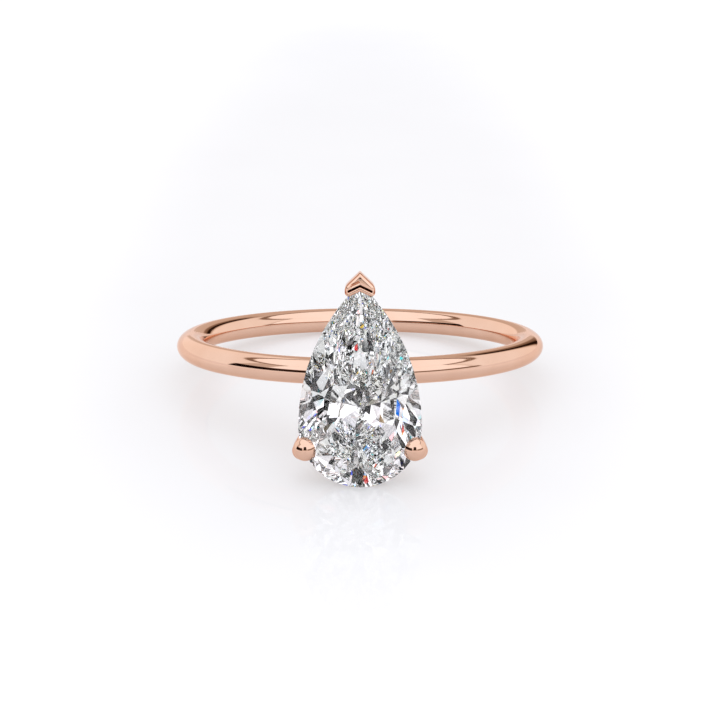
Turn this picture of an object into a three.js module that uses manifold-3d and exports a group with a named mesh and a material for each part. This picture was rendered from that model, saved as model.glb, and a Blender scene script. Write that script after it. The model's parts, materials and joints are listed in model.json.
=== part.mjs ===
// Solitaire engagement ring: a pear brilliant in a three-prong basket head on a thin round-wire shank.
// Millimetres, +Z up.  The ring lies on a table: the back of the shank and the round end of the stone touch it.
//
// Two working frames are used inside the part:
//   ring frame  finger axis along Z, stone on the -Y side, point of the pear towards +Z;
//   head frame  Z outwards from the finger axis, Y along the pear towards its point, X across.
import * as THREE from 'three';
import { ConvexGeometry } from 'three/addons/geometries/ConvexGeometry.js';
import { mergeVertices } from 'three/addons/utils/BufferGeometryUtils.js';
import Module from 'manifold-3d';

const wasm = await Module();
wasm.setup();

// ---- driving sizes ----------------------------------------------------------------
const FINGER_BORE = 16.5;        // inner diameter, US size 6
const SHANK_THICKNESS = 1.56;    // radial
const SHANK_WIDTH = 1.33;        // along the finger
const SHANK_STEPS = 96;
const SECTION_STEPS = 20;

const STONE_WIDTH = 5.86;
const POINT_LENGTH = 6.8;        // from the widest line of the pear to its point
const STONE_DROP = 1.75;         // the widest line lies this far below the middle of the shank
const GIRDLE_HEIGHT = 14.26;     // finger axis to the middle of the girdle
const GIRDLE_THICKNESS = 0.16;
const CROWN_HEIGHT = 0.86;
const PAVILION_DEPTH = 2.8;
const CULET_SHIFT = 0.8;         // the culet lies this much closer to the point than the widest line
const PAVILION_TIERS = [         // corners of the pavilion facets, counted round the stone
  { ratio: 0.66, depthShare: 0.38, count: 16 },
  { ratio: 0.34, depthShare: 0.72, count: 8 },
];
const FACET_SCATTER = 0.08;      // how far the pavilion corners of this hand-cut stone stray
const TABLE_RATIO = 0.58;        // table outline over girdle outline
const STAR_DEPTH = 0.45;         // share of the crown height that the star facets take

const SOLDER_GAP = 0.02;         // soldered and set pieces meet across this gap

const WIRE_RADIUS = 0.44;        // prong wire
const WIRE_SIDES = 12;
const CLAW_TURN = 1.24;          // outline position of the two claws, see pearPoint
const CLAW_RADIUS = 0.58;
const CLAW_REACH = 0.76;         // from the middle of the claw to its sharp tip
const CLAW_LIFT = 0.3;           // middle of the claw over the middle of the girdle
const CLAW_INSET = 0.14;         // and inside the stone's outline
const CLAW_FLATTENING = 0.9;
const CLAW_TIP_LIFT = 0.2;

const V_WALL = 0.42;             // metal outside the point of the stone
const V_HALF_WIDTH = 0.72;
const V_TOP = 0.55;              // height of the V cap over the middle of the girdle
const V_LENGTH = 1.15;           // from the tip of the cap to the ends of its arms
const V_NOTCH = 0.9;             // from the tip of the cap to the top of the notch
const V_NOTCH_HALF_WIDTH = 0.52;

const BASE_HALF_WIDTH = 1.05;
const BASE_HALF_LENGTH = 1.6;
const BASE_FOOT_SHARE = 0.58;    // the foot is this much smaller than the top
const BASE_TOP = 10.65;
const BASE_FOOT = 9.45;
const BASE_RATIO = 0.22;         // the prongs start here, as a share of the girdle outline
const BASE_SHIFT = 1.28;         // and this much closer to the pear's point than the culet is

const PIN_RADIUS = 0.4;
const PIN_BOTTOM = 9.0;
const PIN_TOP = 10.2;

// ---- sizes that follow ----------------------------------------------------------------
const SHANK_MIDDLE = (FINGER_BORE + SHANK_THICKNESS) / 2;
const HALF_WIDTH = STONE_WIDTH / 2;
const WING_RADIUS = (HALF_WIDTH ** 2 + POINT_LENGTH ** 2) / STONE_WIDTH;
const WING_ANGLE = Math.asin(POINT_LENGTH / WING_RADIUS);
const GIRDLE_TOP = GIRDLE_HEIGHT + GIRDLE_THICKNESS / 2;
const GIRDLE_BOTTOM = GIRDLE_HEIGHT - GIRDLE_THICKNESS / 2;
const TABLE_HEIGHT = GIRDLE_TOP + CROWN_HEIGHT;

// ---- materials ----------------------------------------------------------------
function roseGold() {
  return new THREE.MeshStandardMaterial({ color: 0xe3a587, roughness: 0.12, metalness: 1 });
}

function diamond() {
  return new THREE.MeshStandardMaterial({ color: 0xf2f4f7, roughness: 0.02, metalness: 0 });
}

// ---- helpers ----------------------------------------------------------------
function toSolid(geometry) {
  const bare = geometry.clone();
  bare.deleteAttribute('normal');
  bare.deleteAttribute('uv');
  const welded = mergeVertices(bare, 1e-5);
  return new wasm.Manifold(new wasm.Mesh({
    numProp: 3,
    vertProperties: Float32Array.from(welded.attributes.position.array),
    triVerts: Uint32Array.from(welded.index.array),
  }));
}

function toGeometry(solid) {
  const mesh = solid.getMesh();
  const geometry = new THREE.BufferGeometry();
  geometry.setAttribute('position', new THREE.BufferAttribute(Float32Array.from(mesh.vertProperties), 3));
  geometry.setIndex(new THREE.BufferAttribute(Uint32Array.from(mesh.triVerts), 1));
  geometry.computeVertexNormals();
  return geometry;
}

function cut(body, tools) {
  return tools.reduce((rest, tool) => rest.subtract(tool), body);
}

function named(name, geometry, material) {
  const mesh = new THREE.Mesh(geometry, material);
  mesh.name = name;
  return mesh;
}

// A point of the pear outline about its widest line.  turn runs 0 at the point, 1 at the widest line and
// 2 at the round end on the right-hand side, and 2 to 4 back up the left-hand side.
function pearPoint(turn) {
  const side = turn > 2 ? -1 : 1;
  const along = turn > 2 ? 4 - turn : turn;
  if (along <= 1) {
    const angle = (1 - along) * WING_ANGLE;
    const x = HALF_WIDTH - WING_RADIUS * (1 - Math.cos(angle));
    return new THREE.Vector2(side * x, WING_RADIUS * Math.sin(angle));
  }
  const angle = (along - 1) * Math.PI / 2;
  return new THREE.Vector2(side * HALF_WIDTH * Math.cos(angle), -HALF_WIDTH * Math.sin(angle));
}

// The basket tapers from the girdle (ratio 1) to the base (BASE_RATIO) and drifts towards the point on the way.
function basketMiddle(ratio) {
  return -STONE_DROP + BASE_SHIFT * (1 - ratio) / (1 - BASE_RATIO);
}

function basketPoint(turn, ratio) {
  const p = pearPoint(turn).multiplyScalar(ratio);
  p.y += basketMiddle(ratio);
  return p;
}

// ---- stone ----------------------------------------------------------------
function stonePoint(turn, ratio, height) {
  const p = pearPoint(turn).multiplyScalar(ratio);
  return new THREE.Vector3(p.x, p.y - STONE_DROP, height);
}

function meetingPoint(a, b, c) {
  const bc = new THREE.Vector3().crossVectors(b.normal, c.normal);
  const ca = new THREE.Vector3().crossVectors(c.normal, a.normal);
  const ab = new THREE.Vector3().crossVectors(a.normal, b.normal);
  const sum = bc.clone().multiplyScalar(a.constant);
  sum.addScaledVector(ca, b.constant);
  sum.addScaledVector(ab, c.constant);
  return sum.multiplyScalar(-1 / a.normal.dot(bc));
}

// A main facet: it holds the girdle tangent at this turn and the table corner above it.
function bezelPlane(turn) {
  const step = 1e-3;
  const girdle = stonePoint(turn, 1, GIRDLE_TOP);
  const corner = stonePoint(turn, TABLE_RATIO, TABLE_HEIGHT);
  const before = stonePoint((turn - step + 4) % 4, 1, GIRDLE_TOP);
  const after = stonePoint((turn + step) % 4, 1, GIRDLE_TOP);
  const along = after.sub(before).add(girdle);
  return new THREE.Plane().setFromCoplanarPoints(girdle, along, corner);
}

// A fixed scatter that differs from one numbered corner to the next.
const FIRST_CORNER = 8;
function straying(number) {
  const scatter = new THREE.Vector3(
    Math.sin(2.3 * number),
    Math.sin(3.7 * number + 1),
    0.6 * Math.sin(5.1 * number + 2),
  );
  return scatter.multiplyScalar(FACET_SCATTER);
}

function stoneGeometry() {
  const mains = 8;
  const step = 4 / mains;
  const points = [];
  const starLevel = new THREE.Plane(new THREE.Vector3(0, 0, 1), -(TABLE_HEIGHT - STAR_DEPTH * CROWN_HEIGHT));
  for (let i = 0; i < mains; i += 1) {
    const turn = i * step;
    points.push(stonePoint(turn, TABLE_RATIO, TABLE_HEIGHT));
    points.push(meetingPoint(bezelPlane(turn), bezelPlane((turn + step) % 4), starLevel));
  }
  const girdleSteps = 4 * mains;
  for (let i = 0; i < girdleSteps; i += 1) {
    const turn = i * 4 / girdleSteps;
    points.push(stonePoint(turn, 1, GIRDLE_TOP));
    points.push(stonePoint(turn, 1, GIRDLE_BOTTOM));
  }
  // The corners of each lower tier are drawn towards the shifted culet.
  let number = FIRST_CORNER;
  for (const { ratio, depthShare, count } of PAVILION_TIERS) {
    for (let i = 0; i < count; i += 1) {
      const corner = stonePoint((i + 0.5) * 4 / count, ratio, GIRDLE_BOTTOM - depthShare * PAVILION_DEPTH);
      corner.y += CULET_SHIFT * (1 - ratio);
      points.push(corner.add(straying(number)));
      number += 1;
    }
  }
  points.push(new THREE.Vector3(0, CULET_SHIFT - STONE_DROP, GIRDLE_BOTTOM - PAVILION_DEPTH));
  return new ConvexGeometry(points);
}

// The stone grown by the solder gap: the seat that every prong is cut to.
function stoneSeat(stone) {
  const growth = 1 + 2 * SOLDER_GAP / STONE_WIDTH;
  const seat = stone.clone();
  seat.translate(0, STONE_DROP, -GIRDLE_HEIGHT);
  seat.scale(growth, growth, growth);
  seat.translate(0, -STONE_DROP, GIRDLE_HEIGHT);
  return toSolid(seat);
}

// ---- shank ----------------------------------------------------------------
// Round wire bent to a hoop.  Flats of the section lie on the bore, the outside and both sides, and one flat
// of the hoop faces the stone squarely.
function hoopGeometry(growth) {
  const section = [];
  const corner = 1 / Math.cos(Math.PI / SECTION_STEPS);
  for (let i = 0; i < SECTION_STEPS; i += 1) {
    const angle = (i + 0.5) * 2 * Math.PI / SECTION_STEPS;
    const radial = (SHANK_THICKNESS / 2 + growth) * corner * Math.cos(angle);
    const axial = (SHANK_WIDTH / 2 + growth) * corner * Math.sin(angle);
    section.push(new THREE.Vector2(SHANK_MIDDLE - radial, -axial));
  }
  section.push(section[0].clone());
  const hoop = new THREE.LatheGeometry(section, SHANK_STEPS);
  hoop.rotateY(Math.PI / SHANK_STEPS);
  hoop.rotateX(Math.PI / 2);
  return hoop;
}

function pinHole() {
  const length = PIN_TOP - PIN_BOTTOM + 2 * SOLDER_GAP;
  const hole = new THREE.CylinderGeometry(PIN_RADIUS + SOLDER_GAP, PIN_RADIUS + SOLDER_GAP, length, 24);
  hole.rotateX(Math.PI / 2);
  hole.translate(0, 0, (PIN_TOP + PIN_BOTTOM) / 2);
  return hole;
}

function shankGeometry() {
  const hole = pinHole();
  hole.rotateX(Math.PI / 2);
  return toGeometry(toSolid(hoopGeometry(0)).subtract(toSolid(hole)));
}

// ---- head ----------------------------------------------------------------
function pinGeometry() {
  const bevel = 0.08;
  const profile = [
    new THREE.Vector2(0, PIN_BOTTOM),
    new THREE.Vector2(PIN_RADIUS - bevel, PIN_BOTTOM),
    new THREE.Vector2(PIN_RADIUS, PIN_BOTTOM + bevel),
    new THREE.Vector2(PIN_RADIUS, PIN_TOP - bevel),
    new THREE.Vector2(PIN_RADIUS - bevel, PIN_TOP),
    new THREE.Vector2(0, PIN_TOP),
  ];
  const pin = new THREE.LatheGeometry(profile, 24);
  pin.rotateX(Math.PI / 2);
  return pin;
}

// An oval block that widens upwards, saddled onto the shank and drilled for the pin.
function baseBlock(growth) {
  const foot = BASE_HALF_WIDTH * BASE_FOOT_SHARE;
  const edge = 0.1;
  const profile = [
    new THREE.Vector2(0, BASE_FOOT - growth),
    new THREE.Vector2(foot + growth, BASE_FOOT - growth),
    new THREE.Vector2(BASE_HALF_WIDTH + growth, BASE_TOP - edge),
    new THREE.Vector2(BASE_HALF_WIDTH - edge + growth, BASE_TOP + growth),
    new THREE.Vector2(0, BASE_TOP + growth),
  ];
  const block = new THREE.LatheGeometry(profile, 32);
  block.rotateX(Math.PI / 2);
  block.scale(1, BASE_HALF_LENGTH / BASE_HALF_WIDTH, 1);
  return toSolid(block);
}

function baseGeometry() {
  const saddle = hoopGeometry(SOLDER_GAP);
  saddle.rotateX(-Math.PI / 2);
  return toGeometry(cut(baseBlock(0), [toSolid(saddle), toSolid(pinHole())]));
}

// A flat pear-shaped loop with rounded edges, middle line at this ratio of the girdle outline.
function railGeometry({ ratio, height, width, depth }, growth) {
  const bevel = 0.1;
  const inset = width / 2 - bevel + growth;
  const loop = (offset) => {
    const points = [];
    for (let turn = 0; turn < 4; turn += 0.125) {
      points.push(basketPoint(turn, ratio + offset / HALF_WIDTH));
    }
    return points;
  };
  const shape = new THREE.Shape(loop(inset).reverse());
  shape.holes.push(new THREE.Path(loop(-inset)));
  const rail = new THREE.ExtrudeGeometry(shape, {
    depth: depth - 2 * bevel + 2 * growth,
    bevelSize: bevel,
    bevelThickness: bevel,
    bevelSegments: 2,
    curveSegments: 1,
  });
  rail.translate(0, 0, height - depth / 2 + bevel - growth);
  return rail;
}

const LOWER_RAIL = { ratio: 0.62, height: 11.75, width: 0.5, depth: 0.5 };
const UPPER_RAIL = { ratio: 0.85, height: 13.0, width: 0.46, depth: 0.5 };

// The wire of a prong runs up the outside of the basket.  Levels are [outline ratio, height].
const WIRE_LEVELS = [
  [BASE_RATIO, BASE_TOP - 0.45],
  [0.34, BASE_TOP + 0.05],
  [0.55, 11.3],
  [0.76, 12.1],
  [0.92, 12.9],
];
const CLAW_WIRE_END = [[1.0, 13.6], [1.02, GIRDLE_HEIGHT + 0.25]];
const V_WIRE_END = [[0.97, 13.4]];

function wirePath(turn, endLevels) {
  return new THREE.CatmullRomCurve3([...WIRE_LEVELS, ...endLevels].map(([ratio, height]) => {
    const p = basketPoint(turn, ratio);
    return new THREE.Vector3(p.x, p.y, height);
  }));
}

function wireGeometry(turn, endLevels) {
  const circle = new THREE.Shape();
  circle.absarc(0, 0, WIRE_RADIUS, 0, 2 * Math.PI);
  return new THREE.ExtrudeGeometry(circle, {
    extrudePath: wirePath(turn, endLevels),
    steps: 24,
    curveSegments: WIRE_SIDES / 2,
    bevelEnabled: false,
  });
}

// A rounded claw: a ball over the girdle drawn out to a sharp tip on the crown.
function clawSolid(turn, tools) {
  const edge = stonePoint(turn, 1, GIRDLE_HEIGHT + CLAW_LIFT);
  const inwards = new THREE.Vector3(-edge.x, -STONE_DROP - edge.y, 0).normalize();
  const ball = new THREE.SphereGeometry(CLAW_RADIUS, 20, 14);
  ball.scale(1, 1, CLAW_FLATTENING);
  const points = [];
  const position = ball.attributes.position;
  for (let i = 0; i < position.count; i += 1) {
    points.push(new THREE.Vector3().fromBufferAttribute(position, i));
  }
  const tip = inwards.clone().multiplyScalar(CLAW_REACH);
  tip.z = CLAW_TIP_LIFT;
  points.push(tip);
  const claw = new ConvexGeometry(points);
  const middle = edge.addScaledVector(inwards, CLAW_INSET);
  claw.translate(middle.x, middle.y, middle.z);
  const body = toSolid(wireGeometry(turn, CLAW_WIRE_END)).add(toSolid(claw));
  return cut(body, tools);
}

// The V prong: its wire flares into a folded cap over the point of the stone, notched like an arrowhead.
function vProngSolid(tools) {
  const pointY = POINT_LENGTH - STONE_DROP;
  const apexY = pointY + V_WALL / Math.cos(WING_ANGLE);
  const shoulderY = apexY - V_HALF_WIDTH * Math.tan(WING_ANGLE) ** -1;
  const armY = apexY - V_LENGTH;
  const capOutline = (inset, height) => [
    new THREE.Vector3(0, apexY - inset * 1.4, height),
    new THREE.Vector3(V_HALF_WIDTH - inset, shoulderY - inset * 0.4, height),
    new THREE.Vector3(V_HALF_WIDTH - inset, armY + inset, height),
    new THREE.Vector3(inset - V_HALF_WIDTH, armY + inset, height),
    new THREE.Vector3(inset - V_HALF_WIDTH, shoulderY - inset * 0.4, height),
  ];
  const flare = new ConvexGeometry([
    ...capOutline(0.16, GIRDLE_HEIGHT + V_TOP),
    ...capOutline(0.04, GIRDLE_HEIGHT + V_TOP - 0.12),
    ...capOutline(0, GIRDLE_HEIGHT + V_TOP - 0.3),
    ...capOutline(0, GIRDLE_HEIGHT - 0.25),
    ...capOutline(0.3, GIRDLE_HEIGHT - 1.15),
  ]);
  const notchShape = new THREE.Shape([
    new THREE.Vector2(0, apexY - V_NOTCH),
    new THREE.Vector2(-V_NOTCH_HALF_WIDTH, armY),
    new THREE.Vector2(-2, armY - 0.1),
    new THREE.Vector2(-2, armY - 2),
    new THREE.Vector2(2, armY - 2),
    new THREE.Vector2(2, armY - 0.1),
    new THREE.Vector2(V_NOTCH_HALF_WIDTH, armY),
  ]);
  const notch = new THREE.ExtrudeGeometry(notchShape, { depth: 2, bevelEnabled: false });
  notch.translate(0, 0, GIRDLE_HEIGHT);
  const body = toSolid(wireGeometry(0, V_WIRE_END)).add(toSolid(flare));
  return cut(body, [toSolid(notch), ...tools]);
}

// ---- assembly ----------------------------------------------------------------
// The angle at which the lower edge of the girdle and the back of the hoop touch the table together.
function restTilt() {
  const stoneY = GIRDLE_BOTTOM;
  const stoneZ = STONE_DROP + HALF_WIDTH;
  let low = 0;
  let high = Math.PI / 4;
  for (let i = 0; i < 50; i += 1) {
    const tilt = (low + high) / 2;
    const sin = Math.sin(tilt);
    const cos = Math.cos(tilt);
    const stoneFoot = stoneY * sin - stoneZ * cos;
    const hoopFoot = -SHANK_MIDDLE * sin - Math.hypot(SHANK_THICKNESS / 2 * sin, SHANK_WIDTH / 2 * cos);
    if (stoneFoot < hoopFoot) {
      low = tilt;
    } else {
      high = tilt;
    }
  }
  return (low + high) / 2;
}

const stone = stoneGeometry();
const prongTools = [
  stoneSeat(stone),
  toSolid(railGeometry(UPPER_RAIL, SOLDER_GAP)),
  toSolid(railGeometry(LOWER_RAIL, SOLDER_GAP)),
  baseBlock(SOLDER_GAP),
];

const head = new THREE.Group();
head.name = 'head';
head.rotation.x = Math.PI / 2;
head.add(named('pear_diamond', stone, diamond()));
head.add(named('v_prong', toGeometry(vProngSolid(prongTools)), roseGold()));
head.add(named('claw_prong_right', toGeometry(clawSolid(CLAW_TURN, prongTools)), roseGold()));
head.add(named('claw_prong_left', toGeometry(clawSolid(4 - CLAW_TURN, prongTools)), roseGold()));
head.add(named('upper_gallery_rail', railGeometry(UPPER_RAIL, 0), roseGold()));
head.add(named('lower_gallery_rail', railGeometry(LOWER_RAIL, 0), roseGold()));
head.add(named('head_base', baseGeometry(), roseGold()));
head.add(named('head_pin', pinGeometry(), roseGold()));

const ring = new THREE.Group();
ring.name = 'ring';
ring.rotation.x = -restTilt();
ring.add(named('shank', shankGeometry(), roseGold()));
ring.add(head);

// The origin is under the middle of the ring's box, on the table.
const group = new THREE.Group();
group.name = 'engagement_ring';
group.add(ring);
group.updateMatrixWorld(true);
const box = new THREE.Box3().setFromObject(group, true);
const middle = box.getCenter(new THREE.Vector3());
ring.position.set(-middle.x, -middle.y, -box.min.z);

export default group;
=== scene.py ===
"""Looks for the solitaire ring: smooth rose-gold metalwork and a faceted diamond on a pale polished table.

Lengths in this script are millimetres.  Pieces are made in the head's own frame: X across, Y towards
the point of the pear, Z outwards from the finger's axis.  Finished ones move to the row frame, in metres.
"""

import json
import math

import bmesh
import bpy
import numpy as np
from mathutils import Matrix, Vector


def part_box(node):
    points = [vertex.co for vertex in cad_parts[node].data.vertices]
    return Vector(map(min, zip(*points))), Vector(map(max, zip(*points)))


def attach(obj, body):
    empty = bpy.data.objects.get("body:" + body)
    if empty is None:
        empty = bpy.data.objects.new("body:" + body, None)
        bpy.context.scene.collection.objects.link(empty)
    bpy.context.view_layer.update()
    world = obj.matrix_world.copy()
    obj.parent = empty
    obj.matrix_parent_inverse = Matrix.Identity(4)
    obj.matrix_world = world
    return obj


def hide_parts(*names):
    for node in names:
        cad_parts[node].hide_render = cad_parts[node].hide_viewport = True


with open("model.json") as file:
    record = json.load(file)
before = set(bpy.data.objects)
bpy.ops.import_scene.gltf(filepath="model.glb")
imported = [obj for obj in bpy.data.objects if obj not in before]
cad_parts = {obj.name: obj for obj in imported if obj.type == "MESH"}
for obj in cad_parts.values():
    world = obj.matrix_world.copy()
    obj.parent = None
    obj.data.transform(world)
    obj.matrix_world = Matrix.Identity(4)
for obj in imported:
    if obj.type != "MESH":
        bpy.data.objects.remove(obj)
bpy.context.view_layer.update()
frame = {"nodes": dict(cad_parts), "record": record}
MM = 0.001

# ---- sizes read from the frame -------------------------------------------------------------------
mounts = {m["name"]: m for m in frame["record"]["mounts"]}
OUTWARD = Vector(mounts["finger_land"]["axis"]).normalized()
ACROSS = Vector((1, 0, 0))
POINTWARD = OUTWARD.cross(ACROSS)
shank_low, shank_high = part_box("shank")
RING_CENTRE = (shank_low + shank_high) / 2
OUTER_RADIUS = (shank_high.x - shank_low.x) / 2 / MM
BORE_RADIUS = (Vector(mounts["finger_land"]["pos_m"]) - RING_CENTRE).length / MM

HEAD_TO_ROW = Matrix.Translation(RING_CENTRE) @ Matrix((ACROSS, POINTWARD, OUTWARD)).transposed().to_4x4()
HEAD_TO_ROW = HEAD_TO_ROW @ Matrix.Scale(MM, 4)
ROW_TO_HEAD = HEAD_TO_ROW.inverted()


def head_points(node):
    """The corners of a CAD node in the head frame."""
    return np.array([ROW_TO_HEAD @ v.co for v in frame["nodes"][node].data.vertices])


stone_points = head_points("pear_diamond")
HALF_WIDTH = stone_points[:, 0].max()
widest = stone_points[stone_points[:, 0] > HALF_WIDTH - 0.001]
STONE_DROP = -widest[:, 1].mean()
POINT_LENGTH = stone_points[:, 1].max() + STONE_DROP
GIRDLE_HEIGHT = widest[:, 2].mean()
shank_points = head_points("shank")
SHANK_WIDTH = shank_points[:, 1].max() - shank_points[:, 1].min()
SHANK_THICKNESS = OUTER_RADIUS - BORE_RADIUS
WING_RADIUS = (HALF_WIDTH ** 2 + POINT_LENGTH ** 2) / (2 * HALF_WIDTH)
WING_ANGLE = math.asin(POINT_LENGTH / WING_RADIUS)
base_points = head_points("head_base")
BASE_TOP = base_points[:, 2].max()
BASE_FOOT = base_points[:, 2].min()
BASE_HALF_WIDTH = base_points[:, 0].max()
BASE_HALF_LENGTH = base_points[:, 1].max()
V_PRONG_TOP = head_points("v_prong")[:, 2].max()


# ---- sizes the solids share with the frame by design ---------------------------------------------
BASE_RATIO = 0.22           # the prongs start here, as a share of the stone's outline
BASE_SHIFT = 1.28           # and this much closer to the pear's point than its widest line
BASE_FOOT_SHARE = 0.58      # the foot of the base, as a share of its top
WIRE_RADIUS = 0.44
SOLDER_GAP = 0.02
REMESH_GRAIN = 0.022


# ---- helpers -------------------------------------------------------------------------------------
def link_mesh(name, verts, faces):
    """A new mesh object in the scene."""
    mesh = bpy.data.meshes.new(name)
    mesh.from_pydata([tuple(v) for v in verts], [], faces)
    mesh.update()
    obj = bpy.data.objects.new(name, mesh)
    bpy.context.scene.collection.objects.link(obj)
    return obj


def grid_faces(rows, columns, close_rows=False):
    """Quads of a tube of rings, each ring closed on itself."""
    faces = []
    for i in range(rows if close_rows else rows - 1):
        j = (i + 1) % rows
        for k in range(columns):
            m = (k + 1) % columns
            faces.append((i * columns + k, i * columns + m, j * columns + m, j * columns + k))
    return faces


def applied(obj, **settings):
    """Applies one modifier to a mesh object."""
    kind = settings.pop("type")
    modifier = obj.modifiers.new("step", kind)
    for key, value in settings.items():
        setattr(modifier, key, value)
    graph = bpy.context.evaluated_depsgraph_get()
    mesh = bpy.data.meshes.new_from_object(obj.evaluated_get(graph), depsgraph=graph)
    obj.modifiers.clear()
    old = obj.data
    obj.data = mesh
    bpy.data.meshes.remove(old)
    return obj


def shade(obj, degrees):
    """Smooth shading, with hard edges where the surface turns by more than this angle."""
    mesh = obj.data
    for polygon in mesh.polygons:
        polygon.use_smooth = True
    mesh.set_sharp_from_angle(angle=math.radians(degrees))


def paint(obj, material):
    obj.data.materials.clear()
    obj.data.materials.append(material)


def place(obj, material):
    """Moves a finished piece from the head frame to the row frame and puts it on the ring's one body."""
    obj.data.transform(HEAD_TO_ROW)
    paint(obj, material)
    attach(obj, "root")


# ---- materials -----------------------------------------------------------------------------------
class NodeMaths:
    """Chains of Math nodes, written as function calls."""

    def __init__(self, tree):
        self.tree = tree

    def put(self, socket, value):
        """Sets a socket to a number, or links another node's output to it."""
        if isinstance(value, (int, float)):
            socket.default_value = value
        else:
            self.tree.links.new(value, socket)

    def math(self, operation, *values):
        node = self.tree.nodes.new("ShaderNodeMath")
        node.operation = operation
        for socket, value in zip(node.inputs, values):
            self.put(socket, value)
        return node.outputs[0]

    def step(self, value, start, end):
        """0 before start and 1 after end, smooth between."""
        node = self.tree.nodes.new("ShaderNodeMapRange")
        node.interpolation_type = "SMOOTHSTEP"
        self.put(node.inputs["Value"], value)
        node.inputs["From Min"].default_value = start
        node.inputs["From Max"].default_value = end
        return node.outputs[0]

    def inside(self, value, low, high, soft):
        """1 between low and high and 0 outside, with edges this soft."""
        rise = self.step(value, low - soft / 2, low + soft / 2)
        fall = self.step(value, high - soft / 2, high + soft / 2)
        return self.math("SUBTRACT", rise, fall)

    def blend(self, low, high, share):
        """low where the share is 0 and high where it is 1."""
        span = self.math("SUBTRACT", high, low)
        return self.math("MULTIPLY_ADD", span, share, low)


def node_material(name):
    """An empty node material, with its tree and its output node."""
    material = bpy.data.materials.new(name)
    material.use_nodes = True
    tree = material.node_tree
    tree.nodes.clear()
    output = tree.nodes.new("ShaderNodeOutputMaterial")
    return material, tree, output


def noise(tree, coordinates, size, detail=2.0, stretch=(1, 1, 1)):
    """Noise with features of this size in millimetres, longer along the stretched axes."""
    mapping = tree.nodes.new("ShaderNodeMapping")
    mapping.inputs["Scale"].default_value = [1 / (size * MM * along) for along in stretch]
    tree.links.new(coordinates, mapping.inputs["Vector"])
    node = tree.nodes.new("ShaderNodeTexNoise")
    node.inputs["Scale"].default_value = 1
    node.inputs["Detail"].default_value = detail
    tree.links.new(mapping.outputs[0], node.inputs["Vector"])
    return node.outputs["Fac"]


def ramp(tree, factor, *stops):
    """A colour ramp through stops of (position, colour)."""
    node = tree.nodes.new("ShaderNodeValToRGB")
    elements = node.color_ramp.elements
    elements[0].position, elements[0].color = stops[0]
    elements[1].position, elements[1].color = stops[-1]
    for position, colour in stops[1:-1]:
        elements.new(position).color = colour
    tree.links.new(factor, node.inputs["Fac"])
    return node.outputs["Color"]


def mixed(tree, factor, first, second):
    """A colour blend: first where the factor is 0 and second where it is 1."""
    node = tree.nodes.new("ShaderNodeMix")
    node.data_type = "RGBA"
    colours = [socket for socket in node.inputs if socket.type == "RGBA"]
    tree.links.new(factor, node.inputs["Factor"])
    for socket, colour in zip(colours, (first, second)):
        if isinstance(colour, tuple):
            socket.default_value = colour
        else:
            tree.links.new(colour, socket)
    return [socket for socket in node.outputs if socket.type == "RGBA"][0]


def bump(tree, height, depth):
    """Surface relief: heights of 0 to 1 stand for this depth in millimetres."""
    node = tree.nodes.new("ShaderNodeBump")
    node.inputs["Strength"].default_value = 1
    node.inputs["Distance"].default_value = depth * MM
    tree.links.new(height, node.inputs["Height"])
    return node.outputs[0]


def hairlines(tree, maths, coordinates):
    """Fine polishing scratches in three directions, 0 to 1."""
    lines = None
    for stretch in ((60, 1, 1), (1, 60, 1), (1, 1, 60)):
        grain = noise(tree, coordinates, size=0.02, detail=1, stretch=stretch)
        worn = noise(tree, coordinates, size=0.9, detail=1)
        patchy = maths.step(worn, start=0.45, end=0.7)
        scratch = maths.math("MULTIPLY", maths.step(grain, start=0.68, end=0.74), patchy)
        lines = scratch if lines is None else maths.math("MAXIMUM", lines, scratch)
    return lines


def seen_through_stone(tree, maths):
    """1 for rays that have come through the stone and 0 for all others."""
    path = tree.nodes.new("ShaderNodeLightPath")
    return maths.math("GREATER_THAN", path.outputs["Transmission Depth"], 0.5)


GOLD_SWING = [
    (0.3, (0.722, 0.452, 0.332, 1)),
    (0.5, (0.742, 0.473, 0.353, 1)),
    (0.72, (0.762, 0.496, 0.375, 1)),
]
GOLD_EDGE_TINT = (0.97, 0.8, 0.7, 1)
# Painted shade: the near-black colour of the V cap's groove and dimple.
GROOVE_PAINTED_SHADE = (0.035, 0.014, 0.008, 1)
# Painted reflection: the grey that the metal shows through the stone.
GOLD_THROUGH_STONE = (0.8, 0.78, 0.78, 1)
GOLD_HAZE = (0.03, 0.05)            # least roughness, and how much cloudy haze adds
SCRATCH_ROUGHNESS = 0.14
SCRATCH_CUT = -0.12                 # depth of a scratch, as a share of the waviness
WAVINESS = 0.002                    # in millimetres


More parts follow.
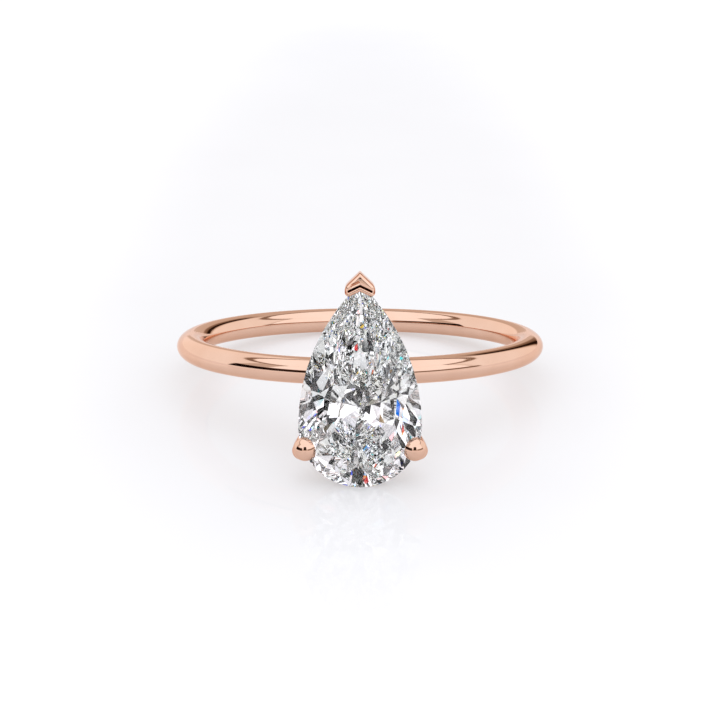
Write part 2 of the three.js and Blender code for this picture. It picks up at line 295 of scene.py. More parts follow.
def rose_gold():
    """Mirror-polished 14-karat rose gold, with a faint swing in colour, haze and hairline scratches."""
    material, tree, output = node_material("rose_gold")
    maths = NodeMaths(tree)
    coordinates = tree.nodes.new("ShaderNodeTexCoord").outputs["Object"]
    shader = tree.nodes.new("ShaderNodeBsdfPrincipled")
    shader.inputs["Metallic"].default_value = 1
    shader.inputs["Specular Tint"].default_value = GOLD_EDGE_TINT
    swing = noise(tree, coordinates, size=1.6, detail=3)
    colour = ramp(tree, swing, *GOLD_SWING)
    # Painted shade: the V cap's groove and dimple turn near black in the metal's colour.
    recess_painted_shade = tree.nodes.new("ShaderNodeAttribute")
    recess_painted_shade.attribute_name = "recess_painted_shade"
    colour = mixed(tree, recess_painted_shade.outputs["Fac"], colour, GROOVE_PAINTED_SHADE)
    # Painted reflection: for rays that have come through the stone, the metal's colour is swapped for grey,
    # so the stone shows the metal behind it as grey.
    colour = mixed(tree, seen_through_stone(tree, maths), colour, GOLD_THROUGH_STONE)
    tree.links.new(colour, shader.inputs["Base Color"])
    scratches = hairlines(tree, maths, coordinates)
    least_haze, added_haze = GOLD_HAZE
    cloud = noise(tree, coordinates, size=0.5, detail=4)
    haze = maths.math("MULTIPLY_ADD", cloud, added_haze, least_haze)
    roughness = maths.math("MULTIPLY_ADD", scratches, SCRATCH_ROUGHNESS, haze)
    tree.links.new(roughness, shader.inputs["Roughness"])
    swell = noise(tree, coordinates, size=0.8, detail=1)
    relief = maths.math("MULTIPLY_ADD", scratches, SCRATCH_CUT, swell)
    tree.links.new(bump(tree, relief, WAVINESS), shader.inputs["Normal"])
    tree.links.new(shader.outputs[0], output.inputs["Surface"])
    return material


DIAMOND_IOR = 2.42
COOL_TRACE = (0.985, 0.992, 1, 1)
WARM_TRACE = (1, 0.998, 0.985, 1)
POLISH_ROUGHNESS = 0.006
GLARE_CUT = 0.85            # share of the outside reflections that the polarised lights take away


def diamond():
    """Clear stone: a trace of warm and cool tint, and the polisher's finest lines on the facets.

    The lights are polarised, as for product photographs, which takes away most of the glare on the outside.
    """
    material, tree, output = node_material("diamond")
    maths = NodeMaths(tree)
    coordinates = tree.nodes.new("ShaderNodeTexCoord").outputs["Object"]
    zones = noise(tree, coordinates, size=1.2, detail=2)
    tint = ramp(tree, zones, (0.35, COOL_TRACE), (0.65, WARM_TRACE))
    lines = noise(tree, coordinates, size=0.01, detail=1, stretch=(1, 80, 80))
    roughness = maths.math("MULTIPLY", maths.step(lines, start=0.6, end=0.8), POLISH_ROUGHNESS)
    glass = tree.nodes.new("ShaderNodeBsdfGlass")
    clear = tree.nodes.new("ShaderNodeBsdfRefraction")
    for shader in (glass, clear):
        shader.inputs["IOR"].default_value = DIAMOND_IOR
        tree.links.new(tint, shader.inputs["Color"])
        tree.links.new(roughness, shader.inputs["Roughness"])
    backfacing = tree.nodes.new("ShaderNodeNewGeometry").outputs["Backfacing"]
    mix = tree.nodes.new("ShaderNodeMixShader")
    tree.links.new(maths.math("MULTIPLY_ADD", backfacing, -GLARE_CUT, GLARE_CUT), mix.inputs[0])
    tree.links.new(glass.outputs[0], mix.inputs[1])
    tree.links.new(clear.outputs[0], mix.inputs[2])
    tree.links.new(mix.outputs[0], output.inputs["Surface"])
    return material


TABLE_DARKER = (0.41, 0.394, 0.399, 1)
TABLE_LIGHTER = (0.42, 0.404, 0.408, 1)
TABLE_LAMP = (1, 0.99, 1, 1)
# Painted shade: the table glows less in an oval pool round the ring.
TABLE_GLOW = (0.454, 0.585)         # in the pool of shade and away from it
POOL_MIDDLE = 19                    # the middle of the pool lies this far behind the ring, in millimetres
POOL_SIDE = 21                      # and it reaches this far to the side, to the back and to the front
POOL_BACK = 110
POOL_FRONT = 50
POOL_EDGE = (0.5, 1.2)              # the glow rises between these shares of the reach
# Painted light and shade on the table, as seen through the stone:
TABLE_PATCH = 5                     # size of the patches seen through the stone, in millimetres
TABLE_PATCH_LIMITS = (0.44, 0.5)
TABLE_PATCH_LEVELS = (0.0, 0.85)
TABLE_THROUGH_STONE = (0.05, 0.05, 0.05, 1)
TABLE_POLISH = 0.075
FLAT_VIEW = (0.68, 0.82)            # one minus the sine of the angle at which the table is seen


def painted_shade_pool_share(tree, maths, coordinates):
    """0 in the middle of the oval pool of painted shade and 1 outside it."""
    split = tree.nodes.new("ShaderNodeSeparateXYZ")
    tree.links.new(coordinates, split.inputs[0])
    x, y = split.outputs["X"], split.outputs["Y"]
    across = maths.math("DIVIDE", x, POOL_SIDE * MM)
    back = maths.math("MULTIPLY_ADD", y, 1 / (POOL_BACK * MM), -POOL_MIDDLE / POOL_BACK)
    front = maths.math("MULTIPLY_ADD", y, -1 / (POOL_FRONT * MM), POOL_MIDDLE / POOL_FRONT)
    along = maths.math("MAXIMUM", back, front)
    squares = [maths.math("MULTIPLY", reach, reach) for reach in (across, along)]
    return maths.step(maths.math("SQRT", maths.math("ADD", *squares)), *POOL_EDGE)


def table_top():
    """White polished acrylic, lit from below by its own glow, with painted shade: it glows a little less in
    a soft oval pool round the ring.
    """
    material, tree, output = node_material("table_top")
    maths = NodeMaths(tree)
    coordinates = tree.nodes.new("ShaderNodeTexCoord").outputs["Object"]
    shader = tree.nodes.new("ShaderNodeBsdfPrincipled")
    cloud = noise(tree, coordinates, size=12, detail=2)
    colour = ramp(tree, cloud, (0.3, TABLE_DARKER), (0.7, TABLE_LIGHTER))
    shader.inputs["Emission Color"].default_value = TABLE_LAMP
    # Painted shade: less glow in the oval pool round the ring.
    glow = maths.blend(*TABLE_GLOW, painted_shade_pool_share(tree, maths, coordinates))
    # Painted light and shade: through the stone the table glows in light and dark patches, as the studio
    # is, and its own colour turns dark.
    through_stone = seen_through_stone(tree, maths)
    patch = maths.step(noise(tree, coordinates, size=TABLE_PATCH, detail=0), *TABLE_PATCH_LIMITS)
    glow = maths.blend(glow, maths.blend(*TABLE_PATCH_LEVELS, patch), through_stone)
    tree.links.new(glow, shader.inputs["Emission Strength"])
    # Painted shade: through the stone the table's own colour turns near black.
    colour = mixed(tree, through_stone, colour, TABLE_THROUGH_STONE)
    tree.links.new(colour, shader.inputs["Base Color"])
    # The polish shows from above and fades in a flat view along the table, which stays plain white.
    facing = tree.nodes.new("ShaderNodeLayerWeight").outputs["Facing"]
    polish = maths.blend(TABLE_POLISH, 0.0, maths.step(facing, *FLAT_VIEW))
    tree.links.new(polish, shader.inputs["Specular IOR Level"])
    grain = noise(tree, coordinates, size=0.3, detail=3)
    least_roughness, added_roughness = 0.01, 0.02
    roughness = maths.math("MULTIPLY_ADD", grain, added_roughness, least_roughness)
    tree.links.new(roughness, shader.inputs["Roughness"])
    tree.links.new(shader.outputs[0], output.inputs["Surface"])
    return material


GOLD = rose_gold()
DIAMOND = diamond()


# ---- tools that cut ------------------------------------------------------------------------------
def carve(obj, tools):
    """Cuts the tool meshes out of an object and deletes them."""
    for tool in tools:
        applied(obj, type="BOOLEAN", operation="DIFFERENCE", solver="EXACT", object=tool)
        bpy.data.objects.remove(tool)


def grown_solid(node, middle, growth):
    """A copy of a CAD solid in the head frame, stretched about this middle."""
    mesh = frame["nodes"][node].data.copy()
    mesh.transform(ROW_TO_HEAD)
    mesh.transform(Matrix.Translation(middle) @ Matrix.Diagonal((*growth, 1)) @ Matrix.Translation(-middle))
    obj = bpy.data.objects.new(node + "_seat", mesh)
    bpy.context.scene.collection.objects.link(obj)
    return obj


def pin_hole():
    """The drilled hole for the pin that holds the head on the shank."""
    corners = head_points("head_pin")
    low, high = Vector(corners.min(axis=0)), Vector(corners.max(axis=0))
    return grown_solid("head_pin", (low + high) / 2, [1 + 2 * SOLDER_GAP / size for size in high - low])


# ---- shank ---------------------------------------------------------------------------------------
def torus_mesh(growth=0.0):
    """The oval wire of the shank bent to a hoop."""
    steps, sides = 384, 48
    middle = (OUTER_RADIUS + BORE_RADIUS) / 2
    verts = []
    for i in range(steps):
        turn = 2 * math.pi * i / steps
        for k in range(sides):
            angle = 2 * math.pi * k / sides
            radial = middle + (SHANK_THICKNESS / 2 + growth) * math.cos(angle)
            along = (SHANK_WIDTH / 2 + growth) * math.sin(angle)
            verts.append((radial * math.sin(turn), along, radial * math.cos(turn)))
    return link_mesh("shank_polished", verts, grid_faces(steps, sides, close_rows=True))


def make_shank():
    obj = torus_mesh()
    carve(obj, [pin_hole()])
    shade(obj, degrees=60)
    place(obj, GOLD)
    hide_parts("shank")


# ---- outline of the head -------------------------------------------------------------------------
def pear_point(turn):
    """The stone's outline: turn 0 is the point, 1 the widest on the right, 2 the round end, 3 the left."""
    turn = turn % 4
    side = -1 if turn > 2 else 1
    along = 4 - turn if turn > 2 else turn
    if along <= 1:
        angle = (1 - along) * WING_ANGLE
        x = HALF_WIDTH - WING_RADIUS * (1 - math.cos(angle))
        return np.array([side * x, WING_RADIUS * math.sin(angle)])
    angle = (along - 1) * math.pi / 2
    return np.array([side * HALF_WIDTH * math.cos(angle), -HALF_WIDTH * math.sin(angle)])


def basket_point(turn, ratio, height):
    """The basket tapers from the girdle to the base and drifts towards the point on the way."""
    x, y = pear_point(turn) * ratio
    middle = -STONE_DROP + BASE_SHIFT * (1 - ratio) / (1 - BASE_RATIO)
    return Vector((x, y + middle, height))


# ---- rails ---------------------------------------------------------------------------------------
RAILS = {"upper_gallery_rail": 0.46, "lower_gallery_rail": 0.5}     # width of the wire
RAIL_ROUNDNESS = 2 / 3.2        # 1 is an oval wire and 0 a square one


def rail_mesh(node, width, growth=0.0):
    """A pear-shaped hoop of wire with softly squared edges, in the box of its CAD node."""
    box = head_points(node)
    low, high = box[:, 2].min(), box[:, 2].max()
    ratio = (box[:, 0].max() - width / 2) / HALF_WIDTH
    steps, sides = 320, 28
    verts = []
    for i in range(steps):
        for k in range(sides):
            angle = 2 * math.pi * k / sides
            cos, sin = math.cos(angle), math.sin(angle)
            out = math.copysign(abs(cos) ** RAIL_ROUNDNESS, cos) * (width / 2 + growth)
            up = math.copysign(abs(sin) ** RAIL_ROUNDNESS, sin) * ((high - low) / 2 + growth)
            verts.append(basket_point(4 * i / steps, ratio + out / HALF_WIDTH, (low + high) / 2 + up))
    return link_mesh(node + "_polished", verts, grid_faces(steps, sides, close_rows=True))


def make_rails():
    for node, width in RAILS.items():
        obj = rail_mesh(node, width)
        shade(obj, degrees=50)
        place(obj, GOLD)
        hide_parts(node)


# ---- base ----------------------------------------------------------------------------------------
BASE_RIM = 0.14             # radius of the rounded rim


def base_mesh(growth=0.0):
    """An oval cup that widens upwards, with a rounded rim."""
    foot = BASE_HALF_WIDTH * BASE_FOOT_SHARE
    profile = [(0, BASE_FOOT - growth), (foot + growth, BASE_FOOT - growth)]
    rim_steps = 8
    for i in range(rim_steps + 1):
        angle = math.pi / 2 * i / rim_steps
        radius = BASE_HALF_WIDTH - BASE_RIM + BASE_RIM * math.cos(angle) + growth
        height = BASE_TOP - BASE_RIM + BASE_RIM * math.sin(angle) + growth
        profile.append((radius, height))
    profile.append((0, BASE_TOP + growth))
    sides = 96
    verts = [(0, 0, profile[0][1]), (0, 0, profile[-1][1])]
    ring = profile[1:-1]
    for radius, height in ring:
        for k in range(sides):
            angle = 2 * math.pi * k / sides
            y = radius * math.cos(angle) * BASE_HALF_LENGTH / BASE_HALF_WIDTH
            verts.append((radius * math.sin(angle), y, height))
    faces = []
    for i in range(len(ring) - 1):
        for k in range(sides):
            m = (k + 1) % sides
            first, second = 2 + i * sides, 2 + (i + 1) * sides
            faces.append((first + m, first + k, second + k, second + m))
    last = 2 + (len(ring) - 1) * sides
    for k in range(sides):
        m = (k + 1) % sides
        faces.append((0, 2 + k, 2 + m))
        faces.append((1, last + m, last + k))
    return link_mesh("head_base_polished", verts, faces)


def make_base():
    obj = base_mesh()
    saddle = torus_mesh(SOLDER_GAP)
    carve(obj, [saddle, pin_hole()])
    shade(obj, degrees=35)
    place(obj, GOLD)
    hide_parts("head_base")


def stone_seat():
    """The stone with a hair of room round it, which cuts its seat in a prong."""
    growth = 1 + SOLDER_GAP / HALF_WIDTH
    return grown_solid("pear_diamond", Vector((0, -STONE_DROP, GIRDLE_HEIGHT)), (growth, growth, growth))


def prong_tools():
    """Everything that a prong makes room for."""
    rails = [rail_mesh(node, width, SOLDER_GAP) for node, width in RAILS.items()]
    return [stone_seat(), *rails, base_mesh(SOLDER_GAP)]


# ---- prongs --------------------------------------------------------------------------------------
# The wire of a prong: [outline ratio, height] up the outside of the basket.
WIRE_LEVELS = [
    (BASE_RATIO, BASE_TOP - 0.45),
    (0.34, BASE_TOP + 0.05),
    (0.55, BASE_TOP + 0.65),
    (0.76, BASE_TOP + 1.45),
    (0.92, BASE_TOP + 2.25),
]
CLAW_WIRE_END = [(1.0, GIRDLE_HEIGHT - 0.66), (1.02, GIRDLE_HEIGHT + 0.25)]
V_WIRE_END = [(0.97, GIRDLE_HEIGHT - 0.86)]


def smooth_path(points, steps):
    """A Catmull-Rom curve through the points, this many steps to each stretch."""
    ends = [points[0] * 2 - points[1], *points, points[-1] * 2 - points[-2]]
    path = []
    for a, b, c, d in zip(ends, ends[1:], ends[2:], ends[3:]):
        for i in range(steps):
            t = i / steps
            path.append(0.5 * (2 * b + (c - a) * t + (2 * a - 5 * b + 4 * c - d) * t ** 2
                               + (3 * b - a - 3 * c + d) * t ** 3))
    path.append(points[-1])
    return path


def wire_mesh(turn, end_levels):
    """The round wire of the prong at this turn of the outline, up to its end levels."""
    levels = WIRE_LEVELS + end_levels
    path = smooth_path([basket_point(turn, ratio, height) for ratio, height in levels], steps=10)
    x, y = pear_point(turn)
    sideways = Vector((-y, x, 0)).normalized()
    sides = 32
    verts = []
    for i, point in enumerate(path):
        tangent = (path[min(i + 1, len(path) - 1)] - path[max(i - 1, 0)]).normalized()
        side = (sideways - tangent * sideways.dot(tangent)).normalized()
        up = tangent.cross(side)
        for k in range(sides):
            angle = 2 * math.pi * k / sides
            verts.append(point + (side * math.cos(angle) + up * math.sin(angle)) * WIRE_RADIUS)
    faces = grid_faces(len(path), sides)
    faces.append(tuple(reversed(range(sides))))
    faces.append(tuple(range(len(verts) - sides, len(verts))))
    obj = link_mesh("wire", verts, faces)
    return outward_faces(obj)


def outward_faces(obj):
    """Turns the faces of a closed mesh outwards."""
    bm = bmesh.new()
    bm.from_mesh(obj.data)
    bmesh.ops.recalc_face_normals(bm, faces=bm.faces)
    bm.to_mesh(obj.data)
    bm.free()
    return obj


def hull_mesh(name, points):
    """The convex hull of the points."""
    bm = bmesh.new()
    for point in points:
        bm.verts.new(point)
    result = bmesh.ops.convex_hull(bm, input=bm.verts)
    left_over = result["geom_interior"] + result["geom_unused"]
    loose = {element for element in left_over if isinstance(element, bmesh.types.BMVert)}
    bmesh.ops.delete(bm, geom=list(loose), context="VERTS")
    obj = link_mesh(name, [], [])
    bm.to_mesh(obj.data)
    bm.free()
    return outward_faces(obj)


def fused(name, pieces, smoothing_rounds):
    """One skin over several overlapping closed pieces, its steps smoothed away."""
    bm = bmesh.new()
    for piece in pieces:
        bm.from_mesh(piece.data)
        bpy.data.objects.remove(piece)
    obj = link_mesh(name, [], [])
    bm.to_mesh(obj.data)
    bm.free()
    applied(obj, type="REMESH", mode="VOXEL", voxel_size=REMESH_GRAIN)
    return applied(obj, type="SMOOTH", factor=0.5, iterations=smoothing_rounds)


# ---- claws ---------------------------------------------------------------------------------------
CLAW_TURN = 1.24            # where the right claw holds the stone's outline
CLAW_RADIUS = 0.57
CLAW_REACH = 0.84           # from the middle of the bead to its tip on the crown
CLAW_LIFT = 0.3             # of the bead's middle over the girdle
CLAW_INSET = 0.14           # and from the stone's edge towards its middle
CLAW_FLATTENING = 0.9
CLAW_TIP_SPREAD = 0.34      # radians: how wide the tip's cone starts
CLAW_TIP_RISE = 0.1         # slope of the tip over the crown


def bead_mesh(turn):
    """A bead over the girdle, drawn out to a tip towards the middle of the stone."""
    x, y = pear_point(turn)
    inward = Vector((-x, -y, 0)).normalized()
    middle = Vector((x, y - STONE_DROP, GIRDLE_HEIGHT + CLAW_LIFT)) + inward * CLAW_INSET
    tip = (inward + Vector((0, 0, CLAW_TIP_RISE))).normalized()
    rows, columns = 48, 64
    verts = []
    for i in range(1, rows):
        polar = math.pi * i / rows
        for k in range(columns):
            angle = 2 * math.pi * k / columns
            flat = math.sin(polar)
            out = Vector((flat * math.cos(angle), flat * math.sin(angle), math.cos(polar)))
            drawn = math.exp(-(out.angle(tip) / CLAW_TIP_SPREAD) ** 2)
            radius = CLAW_RADIUS + (CLAW_REACH - CLAW_RADIUS) * drawn
            verts.append(middle + Vector((out.x, out.y, out.z * CLAW_FLATTENING)) * radius)
    faces = grid_faces(rows - 1, columns)
    faces.append(tuple(reversed(range(columns))))
    faces.append(tuple(range(len(verts) - columns, len(verts))))
    return outward_faces(link_mesh("bead", verts, faces))


def make_claw(node, turn):
    pieces = [wire_mesh(turn, CLAW_WIRE_END), bead_mesh(turn)]
    obj = fused(node + "_polished", pieces, smoothing_rounds=8)
    carve(obj, prong_tools())
    shade(obj, degrees=40)
    place(obj, GOLD)
    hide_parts(node)


# ---- V prong -------------------------------------------------------------------------------------
V_HALF_WIDTH = 0.72
V_WALL = 0.42                       # metal outside the stone's two edges
V_APEX = POINT_LENGTH - STONE_DROP + V_WALL / math.cos(WING_ANGLE)
V_LENGTH = 1.15                     # from the apex to the ends of the arms
V_CORNERS = (0.06, 0.2, 0.22, 0.22, 0.2)    # radii of the apex, a shoulder, two arm ends and a shoulder
V_NOTCH = 0.9                       # from the apex to the notch between the arms
V_NOTCH_HALF_WIDTH = 0.52
V_FLARE = (0.3, 1.15)               # how far the cap's foot is drawn in, and its depth under the girdle
V_SKIRT = 0.25                      # the straight sides reach this far under the girdle
V_BEVEL = (0.03, 0.06)              # width and height of the cap's broken edge
V_RIM = 0.17
V_RIM_FALL = 0.09
V_RIM_POWER = 1.5                   # 1 is a flat bevel, and more is rounder
V_LIP = 0.2                         # width of the rounded lip along the notch
V_LIP_FALL = 0.1
V_GROOVE = 0.055
V_GROOVE_DEPTH = 0.34
V_GROOVE_ENDS = (0.12, 0.24)        # the groove fades out this near the cap's edge
V_CREASE = 0.02                     # width of a crisp step
V_ROLL = 0.16                       # the middle panel rolls down into the groove over this length
V_ROLL_FALL = 0.3                   # and sinks by this share of it
V_SCOOP = 0.2                       # width of the scooped strip over the groove
V_SCOOP_SLOPE = 0.75
V_SCOOP_BACK = 0.15                 # the strip climbs back over this share of its width
V_SCOOP_MIDDLE = (-0.1, 0.1)        # going left, the strip opens up across the middle line
V_SCOOP_END = (-0.58, -0.36)        # and closes between these at the cap's left edge
V_DIMPLE = (0.3, 0.07, 0.08)        # below the apex, radius and depth


def rounded(corner, before, after, radius):
    """Points of an arc-like bend that replaces a corner."""
    start = corner + (before - corner).normalized() * radius
    end = corner + (after - corner).normalized() * radius
    return [start.lerp(corner, t).lerp(corner.lerp(end, t), t) for t in (0, 0.25, 0.5, 0.75, 1)]


def v_cap_outline(inset, height):
    """The arrowhead outline of the cap, drawn in by this much, at this height."""
    shoulder = V_APEX - V_HALF_WIDTH / math.tan(WING_ANGLE)
    arm = V_APEX - V_LENGTH
    half = V_HALF_WIDTH - inset
    apex_share, shoulder_share = 1.4, 0.4       # a mitred corner moves further than its sides
    apex = V_APEX - inset * apex_share
    shoulder = shoulder - inset * shoulder_share
    corners = [(0, apex), (half, shoulder), (half, arm + inset)]
    corners += [(-x, y) for x, y in reversed(corners[1:])]
    corners = [Vector((x, y, height)) for x, y in corners]
    points = []
    for i, (corner, radius) in enumerate(zip(corners, V_CORNERS)):
        points += rounded(corner, corners[i - 1], corners[(i + 1) % len(corners)], radius)
    return points


def v_flare():
    """The wire spreads into a cap over the point of the stone, notched like an arrowhead below."""
    bevel_width, bevel_height = V_BEVEL
    foot_inset, foot_depth = V_FLARE
    flare = hull_mesh("flare", [
        *v_cap_outline(bevel_width, V_PRONG_TOP),
        *v_cap_outline(0, V_PRONG_TOP - bevel_height),
        *v_cap_outline(0, GIRDLE_HEIGHT - V_SKIRT),
        *v_cap_outline(foot_inset, GIRDLE_HEIGHT - foot_depth)])
    arm = V_APEX - V_LENGTH
    clear = 2                   # well past the cap on every side
    notch = [(0, V_APEX - V_NOTCH), (-V_NOTCH_HALF_WIDTH, arm), (-clear, arm - 0.1), (-clear, arm - clear),
             (clear, arm - clear), (clear, arm - 0.1), (V_NOTCH_HALF_WIDTH, arm)]
    verts = [(x, y, GIRDLE_HEIGHT + rise) for rise in (0, clear) for x, y in notch]
    count = len(notch)
    faces = [tuple(range(count)), tuple(range(count, 2 * count))]
    faces += [(k, (k + 1) % count, (k + 1) % count + count, k + count) for k in range(count)]
    carve(flare, [outward_faces(link_mesh("notch", verts, faces))])
    return flare


def between(value, start, end):
    """0 before start, 1 after end, smooth between, for arrays."""
    share = np.clip((value - start) / (end - start), 0, 1)
    return share * share * (3 - 2 * share)


def rim_level(edge):
    """The bevelled rim, by the distance from the cap's edge."""
    return -V_RIM_FALL * np.clip(1 - edge / V_RIM, 0, 1) ** V_RIM_POWER


def scoop_level(x, past_groove):
    """On the left the middle panel is scooped along the groove, so that it faces up towards the light."""
    width = V_SCOOP * between(-x, *V_SCOOP_MIDDLE) * between(x, *V_SCOOP_END)
    share = np.clip(past_groove / np.maximum(width, 1e-6), 0, 1 + V_SCOOP_BACK)
    depth = np.where(share < 1, share, (1 + V_SCOOP_BACK - share) / V_SCOOP_BACK)
    return -V_SCOOP_SLOPE * width * depth


def emboss_v_cap(obj):
    """Bevelled rim, rolled and scooped middle, a dimple, and a groove and a rounded lip along the notch."""
    mesh = obj.data
    points = np.array([v.co for v in mesh.vertices])
    normals = np.array([v.normal for v in mesh.vertices])
    x, y, z = np.abs(points[:, 0]), points[:, 1], points[:, 2]
    to_slope = (V_APEX - y) * math.sin(WING_ANGLE) - x * math.cos(WING_ANGLE)
    edge = np.minimum(to_slope, V_HALF_WIDTH - x)
    fall = (V_LENGTH - V_NOTCH) / V_NOTCH_HALF_WIDTH
    to_notch = (y - (V_APEX - V_NOTCH) + fall * x) / math.hypot(1, fall)
    past_groove = to_notch - V_LIP - V_GROOVE
    rim = rim_level(edge)
    rolled = np.clip(1 - past_groove / V_ROLL, 0, 1)
    level = rim - V_ROLL * V_ROLL_FALL * (1 - np.sqrt(1 - rolled ** 2))
    level = level + scoop_level(points[:, 0], past_groove)
    below_apex, dimple_radius, dimple_depth = V_DIMPLE
    to_dimple = np.hypot(x, y - V_APEX + below_apex)
    dimple = 1 - between(to_dimple, 0, dimple_radius)
    level = level - dimple_depth * dimple
    in_groove = (1 - between(past_groove, 0, V_CREASE)) * between(edge, *V_GROOVE_ENDS)
    level = level + (-V_GROOVE_DEPTH - level) * in_groove
    lip = V_LIP / 2
    roll = np.sqrt(np.clip(1 - ((to_notch - lip) / lip) ** 2, 0, 1))
    in_lip = 1 - between(to_notch, V_LIP - V_CREASE, V_LIP)
    level = level + (rim - V_LIP_FALL * (1 - roll) - level) * in_lip
    # Only the cap's top side is embossed: what faces up and lies near the top.
    faces_up = between(normals[:, 2], 0.3, 0.7)
    near_top = between(z, V_PRONG_TOP - 0.2, V_PRONG_TOP - 0.1)
    share = faces_up * near_top
    for vertex, change in zip(mesh.vertices, level * share):
        vertex.co.z += change
    # Painted shade: the groove and the dimple are marked here to be darkened in the metal's colour.
    painted_shade = np.maximum(in_groove * (1 - in_lip), dimple) * share
    mesh.attributes.new("recess_painted_shade", "FLOAT", "POINT").data.foreach_set("value", painted_shade.astype(np.float32))


def make_v_prong():
    obj = fused("v_prong_polished", [wire_mesh(0, V_WIRE_END), v_flare()], smoothing_rounds=14)
    emboss_v_cap(obj)
    carve(obj, prong_tools())
    shade(obj, degrees=30)
    place(obj, GOLD)
    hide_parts("v_prong")


# ---- the ring ------------------------------------------------------------------------------------
make_shank()
make_rails()
make_base()
make_claw("claw_prong_right", CLAW_TURN)
make_claw("claw_prong_left", 4 - CLAW_TURN)
make_v_prong()
# The stone and the pin keep their CAD solids.
for node, obj in frame["nodes"].items():
    paint(obj, DIAMOND if node == "pear_diamond" else GOLD)


# ---- stage ---------------------------------------------------------------------------------------
def make_floor():
    radius = 500 * MM
    count = 96
    turns = [2 * math.pi * i / count for i in range(count)]
    verts = [(radius * math.cos(turn), radius * math.sin(turn), 0) for turn in turns]
    obj = link_mesh("floor", verts, [tuple(range(count))])
    obj.data.materials.append(table_top())


make_floor()


# ---- studio --------------------------------------------------------------------------------------
# Panels of the studio as seen from the ring: azimuths from the camera's side (right is positive) and
# elevations in degrees, softness of the edges, and brightness.  Later panels cover earlier ones.
ROOM = 0.75
PANELS = [
    ("ceiling", -181, 181, 49, 91, 2, 1.38),
    ("left wall", -170, -86, -30, 45, 4, 1.18),
    ("right wall", 76, 150, -30, 45, 8, 1.18),
    ("front fill", -60, 76, -8, 12, 4, 0.85),
    ("ceiling gap", -181, 181, 44.5, 48.5, 2, 0.3),
    ("front softbox", -62, 74, 13, 49, 2, 1.38),
    ("front left flag", -62, -26, -8, 21, 5, 0.035),
    ("camera", -13, 12, 5, 34, 2, 0.04),
    ("right line", 24, 80, 3, 11, 4, 0.2),
    ("left flag", -88, -60, -10, 20, 2, 0.01),
    ("back shade", 160, 168, 0, 30, 4, 0.3),
    ("back flag", 153, 162, -5, 36, 5, 0.02),
]

# Powers of the brightness in red, green and blue: they leave white as it is and make the dark gaps warm.
WARMTH = (1, 1.22, 1.42)

# The stone spreads white light into colours: rays that come through it look up red, green and blue at
# directions this many degrees apart.  They see the small lamps and dark gaps of the studio, as patches.
FIRE_SPREAD = 0.6
# The patches follow a sum of waves: radians per degree of azimuth and of elevation, and a phase.
PATCH_WAVES = [(0.11, 0, 1.3), (0, 0.15, 0.4), (0.07, -0.11, 2.0)]
PATCH_LIMITS = (-0.6, 0.5)          # the sum at which dark turns to middle and middle to bright
PATCH_EDGE = 0.06
PATCH_LEVELS = (0.0, 0.88, 1.6)
PATCH_TINT = (1.04, 1.0, 1.07)      # a trace of lilac
# The photographer and the camera darken this much of the studio: low, high and softness, in degrees.
SHADED_AZIMUTHS = (-45, 45, 30)
SHADED_ELEVATIONS = (-10, 50, 20)
CAMERA_SHADE = 1.2


def patches(maths, azimuth, elevation):
    """Brightness of the patches that the stone sees in this direction."""
    near_camera = maths.math("MULTIPLY", maths.inside(azimuth, *SHADED_AZIMUTHS),
                             maths.inside(elevation, *SHADED_ELEVATIONS))
    waves = maths.math("MULTIPLY", near_camera, -CAMERA_SHADE)
    for across, up, phase in PATCH_WAVES:
        rising = maths.math("MULTIPLY_ADD", elevation, up, phase)
        wave = maths.math("SINE", maths.math("MULTIPLY_ADD", azimuth, across, rising))
        waves = maths.math("ADD", waves, wave)
    dark, middle, bright = PATCH_LEVELS
    low, high = PATCH_LIMITS
    level = maths.blend(dark, middle, maths.step(waves, low - PATCH_EDGE, low + PATCH_EDGE))
    return maths.blend(level, bright, maths.step(waves, high - PATCH_EDGE, high + PATCH_EDGE))


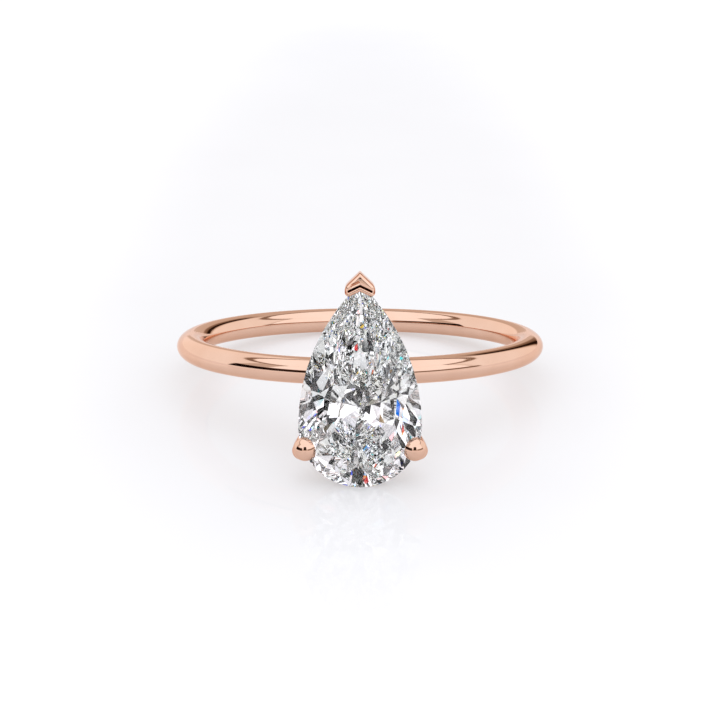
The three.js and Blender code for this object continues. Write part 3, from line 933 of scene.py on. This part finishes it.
def studio_world():
    """The studio's panels, and its patches for what comes through the stone."""
    world = bpy.data.worlds.new("studio")
    bpy.context.scene.world = world
    world.use_nodes = True
    tree = world.node_tree
    maths = NodeMaths(tree)
    direction = tree.nodes.new("ShaderNodeTexCoord").outputs["Generated"]
    split = tree.nodes.new("ShaderNodeSeparateXYZ")
    tree.links.new(direction, split.inputs[0])
    x, y, z = split.outputs
    azimuth = maths.math("DEGREES", maths.math("ARCTAN2", x, maths.math("MULTIPLY", y, -1)))
    elevation = maths.math("DEGREES", maths.math("ARCSINE", z))
    brightness = ROOM
    for _, left, right, low, high, soft, level in PANELS:
        share = maths.math("MULTIPLY", maths.inside(azimuth, left, right, soft),
                           maths.inside(elevation, low, high, soft))
        brightness = maths.blend(brightness, level, share)
    # What the camera sees straight past the floor's edge is plain white.
    path = tree.nodes.new("ShaderNodeLightPath")
    brightness = maths.blend(brightness, 1.0, path.outputs["Is Camera Ray"])
    through_stone = seen_through_stone(tree, maths)
    colour = tree.nodes.new("ShaderNodeCombineColor")
    shifts = (-FIRE_SPREAD, 0, FIRE_SPREAD)
    for socket, shift, warmth, tint in zip(colour.inputs, shifts, WARMTH, PATCH_TINT):
        patch = patches(maths, maths.math("ADD", azimuth, shift), maths.math("ADD", elevation, shift))
        patch = maths.math("MULTIPLY", patch, tint)
        panels = maths.math("POWER", brightness, warmth)
        tree.links.new(maths.blend(panels, patch, through_stone), socket)
    background = tree.nodes["Background"]
    tree.links.new(colour.outputs[0], background.inputs["Color"])
    background.inputs["Strength"].default_value = 1


studio_world()


# ---- camera --------------------------------------------------------------------------------------
CAMERA_DISTANCE = 116.4
CAMERA_ELEVATION = math.radians(18.61)
LENS = 108.3
SENSOR = 36
PICTURE_SHIFT = -0.02264        # share of the picture's width


def make_camera():
    data = bpy.data.cameras.new("camera")
    data.lens = LENS
    data.sensor_width = SENSOR
    data.clip_start = 5 * MM
    data.shift_y = PICTURE_SHIFT
    camera = bpy.data.objects.new("camera", data)
    bpy.context.scene.collection.objects.link(camera)
    away = Vector((0, -math.cos(CAMERA_ELEVATION), math.sin(CAMERA_ELEVATION)))
    camera.location = RING_CENTRE + away * CAMERA_DISTANCE * MM
    camera.rotation_euler = (math.pi / 2 - CAMERA_ELEVATION, 0, 0)
    bpy.context.scene.camera = camera


def set_light_paths():
    """Light is followed through many reflections, because the stone is all inner mirrors."""
    scene = bpy.context.scene
    scene.view_settings.view_transform = "Standard"
    scene.cycles.max_bounces = 64
    scene.cycles.transmission_bounces = 64
    scene.cycles.glossy_bounces = 36
    scene.cycles.sample_clamp_indirect = 0


make_camera()
set_light_paths()
